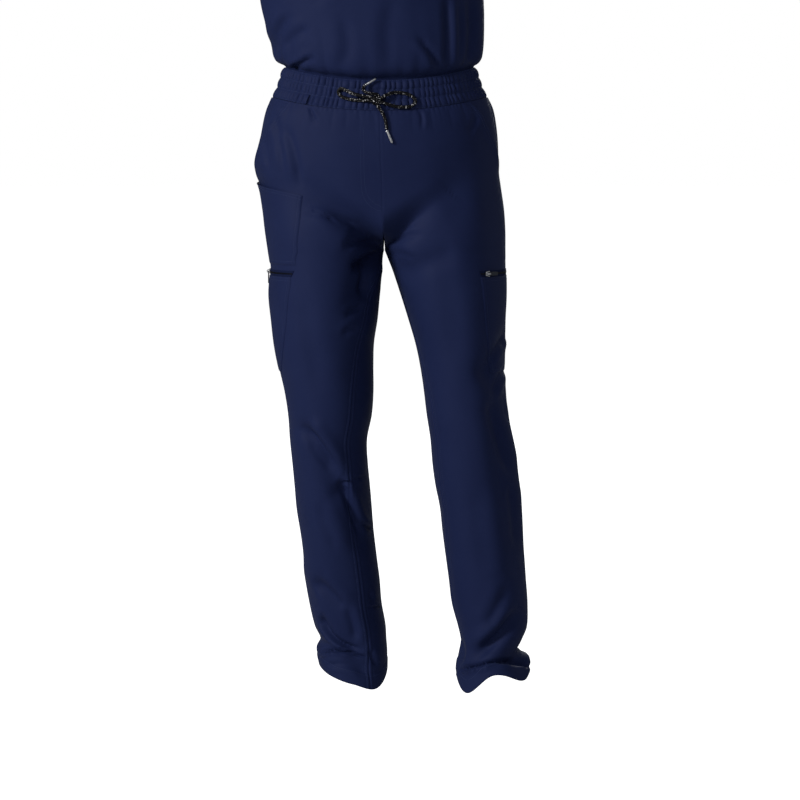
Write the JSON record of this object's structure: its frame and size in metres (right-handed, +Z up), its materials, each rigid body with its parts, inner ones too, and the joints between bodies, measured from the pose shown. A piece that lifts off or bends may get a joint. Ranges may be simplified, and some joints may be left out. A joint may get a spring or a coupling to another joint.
{
  "type": "medical scrubs",
  "caption": "Medical scrubs worn as a set: V-neck short-sleeved top tucked into tapered drawstring trousers with gathered waistband, slash, hip and zipped thigh pockets.",
  "frame": {"origin": "centre of the worn waist, level with the mean height of the waistband's top edge, where the wearer holds the trousers up", "axes": "+Z up along the wearer, the wearer faces -Y, +X to the viewer's right in the front view"},
  "size_m": [0.572, 0.2706, 1.4145],
  "materials": {
    "cloth": "navy stretch twill with a soft sheen",
    "cord": "black round braid with pale flecks",
    "metal": "satin bright metal",
    "zipper": "dark coil zip, tape and pull"
  },
  "bodies": {
    "garment": {"front_left": "cloth", "back_left": "cloth", "hip_facing_left": "cloth", "front_right": "cloth", "back_right": "cloth", "hip_facing_right": "cloth", "waistband": "cloth", "hip_pocket": "cloth", "cargo_pocket_left": "cloth", "cargo_pocket_right": "cloth", "top_front": "cloth", "top_back": "cloth", "sleeve_left": "cloth", "sleeve_right": "cloth", "neckband": "cloth", "waist_loop": "cloth", "cord_loop_left": "cord", "cord_loop_right": "cord", "cord_tail_up": "cord", "cord_tail_down": "cord", "cord_knot": "cord", "slider_left": "metal", "slider_right": "metal", "aglet_up": "metal", "aglet_down": "metal", "zip_left": "zipper", "zip_right": "zipper"},
    "pull_left": {"pull_left": "zipper"},
    "pull_right": {"pull_right": "zipper"}
  },
  "joints": [
    {"name": "pull_left_swing", "type": "hinge", "parent": "garment", "child": "pull_left", "pos_m": [-0.17525, 0.01675, -0.30509], "axis": [0.0822, 0.9966, 0], "range_deg": [0, 170]},
    {"name": "pull_right_swing", "type": "hinge", "parent": "garment", "child": "pull_right", "pos_m": [0.16833, -0.08788, -0.30493], "axis": [0, 0, -1], "range_deg": [0, 170]}
  ]
}
